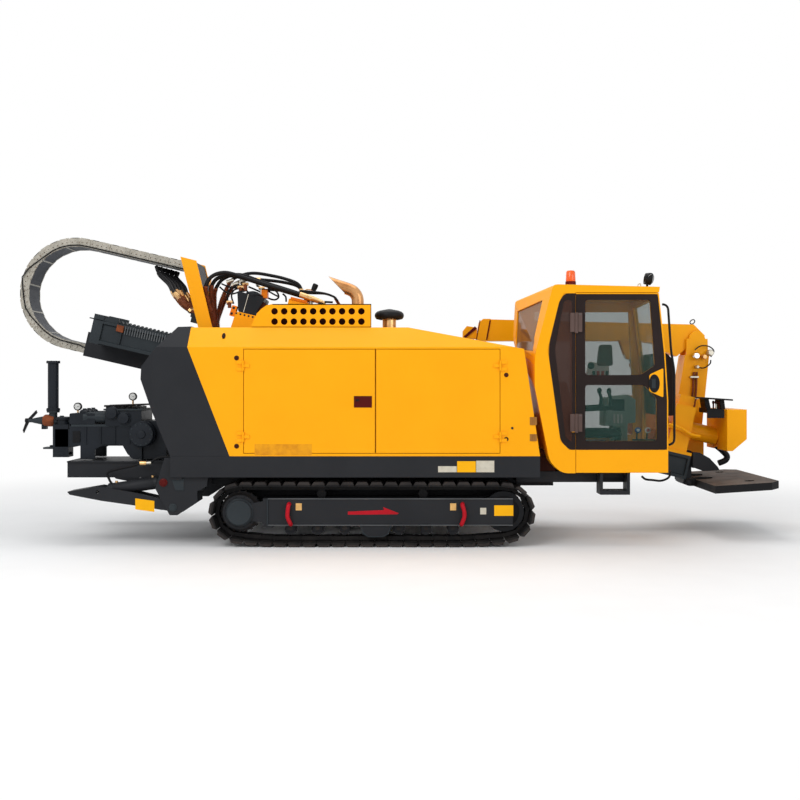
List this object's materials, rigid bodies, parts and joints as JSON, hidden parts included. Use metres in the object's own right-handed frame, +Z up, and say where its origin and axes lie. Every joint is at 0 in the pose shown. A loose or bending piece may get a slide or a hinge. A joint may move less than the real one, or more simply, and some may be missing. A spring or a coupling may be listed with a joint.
{
  "type": "horizontal directional drill",
  "caption": "Crawler-mounted horizontal directional drill with a sloping mast, power head on a carriage, drag chain, cab, engine hood, loading crane, mud pump and rear stabilizers.",
  "frame": {"origin": "on the ground below the middle of the machine", "axes": "+X along the machine towards the exit end of the mast, +Z up, -Y towards the side with the cab and hood"},
  "size_m": [8.9698, 2.2537, 3.553],
  "materials": {
    "amber": "glossy",
    "black": "matt",
    "bright_metal": "heat-tinted",
    "chain": "galvanised",
    "chrome": "polished",
    "dark_grey": "satin paint",
    "glass": "clear",
    "pale_plastic": "satin",
    "rubber": "matt",
    "seat_fabric": "woven",
    "tinted_glass": "tinted",
    "track_steel": "worn",
    "yellow": "glossy paint"
  },
  "bodies": {
    "machine": {"chassis": "dark_grey", "underframe": "dark_grey", "track_near": "track_steel", "track_far": "track_steel", "track_frame_near": "dark_grey", "track_frame_far": "dark_grey", "hood_shell": "yellow", "rear_cowl": "dark_grey", "engine_block": "dark_grey", "guard": "yellow", "exhaust": "bright_metal", "precleaner": "black", "cab_body": "yellow", "glass_side": "tinted_glass", "glass_quarter": "tinted_glass", "glass_front": "glass", "glass_far": "glass", "seat": "seat_fabric", "console": "pale_plastic", "beacon": "amber", "work_lamp": "black", "grab_rail": "black", "cab_step": "dark_grey", "mud_pump": "dark_grey", "side_tank": "yellow"},
    "mast": {"mast_beam": "dark_grey", "mast_lugs": "dark_grey", "chain_tray": "dark_grey", "drag_chain": "chain", "wrench_cradle": "yellow", "vise": "yellow", "guide_tube": "yellow", "wiper_box": "yellow", "valve_block": "black", "anchor_hinge": "dark_grey", "crane_base": "yellow"},
    "carriage": {"carriage": "yellow", "hose_post": "yellow", "head_hoses": "rubber", "chain_hoses": "rubber"},
    "spindle": {"spindle": "dark_grey"},
    "wrench": {"wrench": "dark_grey"},
    "anchor_plate": {"anchor_plate": "dark_grey"},
    "crane_column": {"crane_column": "yellow"},
    "crane_boom": {"crane_boom": "yellow"},
    "luff_barrel": {"luff_barrel": "yellow"},
    "luff_rod": {"luff_rod": "chrome"},
    "mast_barrel": {"mast_barrel": "dark_grey"},
    "mast_rod": {"mast_rod": "chrome"},
    "cab_door": {"cab_door": "yellow", "door_band": "black", "glass_door": "glass"},
    "hood_door_rear": {"hood_door_rear": "yellow"},
    "hood_door_front": {"hood_door_front": "yellow"},
    "stabilizer_arm_near": {"stabilizer_arm_near": "dark_grey"},
    "stabilizer_barrel_near": {"stabilizer_barrel_near": "dark_grey"},
    "stabilizer_rod_near": {"stabilizer_rod_near": "chrome"},
    "stabilizer_arm_far": {"stabilizer_arm_far": "dark_grey"},
    "stabilizer_barrel_far": {"stabilizer_barrel_far": "dark_grey"},
    "stabilizer_rod_far": {"stabilizer_rod_far": "chrome"}
  },
  "joints": [
    {"name": "mast_tilt", "type": "hinge", "parent": "machine", "child": "mast", "pos_m": [1.72, 0.35, 0.92], "axis": [0, 1, 0], "range_deg": [-3, 7]},
    {"name": "carriage_feed", "type": "slide", "parent": "mast", "child": "carriage", "axis": [0.9744, 0, -0.225], "range_m": [-0.3, 2.95], "deforming": ["drag_chain"]},
    {"name": "spindle_turn", "type": "hinge", "parent": "carriage", "child": "spindle", "pos_m": [-0.4599, 0.35, 2.14681], "axis": [0.9744, 0, -0.225], "continuous": true},
    {"name": "breakout", "type": "hinge", "parent": "mast", "child": "wrench", "pos_m": [3.14527, 0.35, 1.31449], "axis": [0.9744, 0, -0.225], "range_deg": [0, 25]},
    {"name": "anchor_plate_hinge", "type": "hinge", "parent": "mast", "child": "anchor_plate", "pos_m": [3.67175, 0.35, 0.57203], "axis": [0, 1, 0], "range_deg": [-8, 10]},
    {"name": "crane_slew", "type": "hinge", "parent": "mast", "child": "crane_column", "pos_m": [3.8, 0.86, 1.17], "axis": [0, 0, 1], "range_deg": [-180, 0]},
    {"name": "crane_luff", "type": "hinge", "parent": "crane_column", "child": "crane_boom", "pos_m": [3.93, 0.86, 2.3], "axis": [0, 1, 0], "range_deg": [0, 65]},
    {"name": "luff_barrel_hinge", "type": "hinge", "parent": "crane_column", "child": "luff_barrel", "pos_m": [3.56, 0.86, 1.38], "axis": [0, 1, 0], "range_deg": [-1, 30]},
    {"name": "luff_rod_slide", "type": "slide", "parent": "luff_barrel", "child": "luff_rod", "axis": [-0.5437, 0, 0.8393], "range_m": [-0.01, 0.76]},
    {"name": "mast_barrel_hinge", "type": "hinge", "parent": "machine", "child": "mast_barrel", "pos_m": [-0.789, 0.35, 0.607], "axis": [0, 1, 0], "range_deg": [-2, 3]},
    {"name": "mast_rod_slide", "type": "slide", "parent": "mast_barrel", "child": "mast_rod", "axis": [0.2506, 0, 0.9681], "range_m": [-0.13, 0.3]},
    {"name": "cab_door_hinge", "type": "hinge", "parent": "machine", "child": "cab_door", "pos_m": [2.113, -1.118, 1.75], "axis": [0, 0, 1], "range_deg": [-90, 0]},
    {"name": "hood_door_rear_hinge", "type": "hinge", "parent": "machine", "child": "hood_door_rear", "pos_m": [-1.446, -1.114, 1.56], "axis": [0, 0, 1], "range_deg": [-90, 0]},
    {"name": "hood_door_front_hinge", "type": "hinge", "parent": "machine", "child": "hood_door_front", "pos_m": [1.303, -1.114, 1.56], "axis": [0, 0, 1], "range_deg": [0, 90]},
    {"name": "stabilizer_near", "type": "hinge", "parent": "machine", "child": "stabilizer_arm_near", "pos_m": [-2.21, -0.9, 0.417], "axis": [0, -1, 0], "range_deg": [0, 28]},
    {"name": "stabilizer_barrel_hinge_near", "type": "hinge", "parent": "machine", "child": "stabilizer_barrel_near", "pos_m": [-2.311, -0.9, 0.685], "axis": [0, -1, 0], "range_deg": [-1, 40]},
    {"name": "stabilizer_rod_slide_near", "type": "slide", "parent": "stabilizer_barrel_near", "child": "stabilizer_rod_near", "axis": [-0.9895, 0, -0.1445], "range_m": [-0.01, 0.25]},
    {"name": "stabilizer_far", "type": "hinge", "parent": "machine", "child": "stabilizer_arm_far", "pos_m": [-2.21, 0.9, 0.417], "axis": [0, -1, 0], "range_deg": [0, 28]},
    {"name": "stabilizer_barrel_hinge_far", "type": "hinge", "parent": "machine", "child": "stabilizer_barrel_far", "pos_m": [-2.311, 0.9, 0.685], "axis": [0, -1, 0], "range_deg": [-1, 40]},
    {"name": "stabilizer_rod_slide_far", "type": "slide", "parent": "stabilizer_barrel_far", "child": "stabilizer_rod_far", "axis": [-0.9895, 0, -0.1445], "range_m": [-0.01, 0.25]}
  ],
  "couplings": [
    {"joint": "luff_barrel_hinge", "follows": "crane_luff", "ratio": 0.4119},
    {"joint": "luff_rod_slide", "follows": "crane_luff", "m_per_rad": 0.6582},
    {"joint": "mast_barrel_hinge", "follows": "mast_tilt", "ratio": 0.0576},
    {"joint": "mast_rod_slide", "follows": "mast_tilt", "m_per_rad": 2.3468},
    {"joint": "stabilizer_barrel_hinge_near", "follows": "stabilizer_near", "ratio": 0.9905},
    {"joint": "stabilizer_rod_slide_near", "follows": "stabilizer_near", "m_per_rad": 0.2835},
    {"joint": "stabilizer_barrel_hinge_far", "follows": "stabilizer_far", "ratio": 0.9905},
    {"joint": "stabilizer_rod_slide_far", "follows": "stabilizer_far", "m_per_rad": 0.2835}
  ]
}
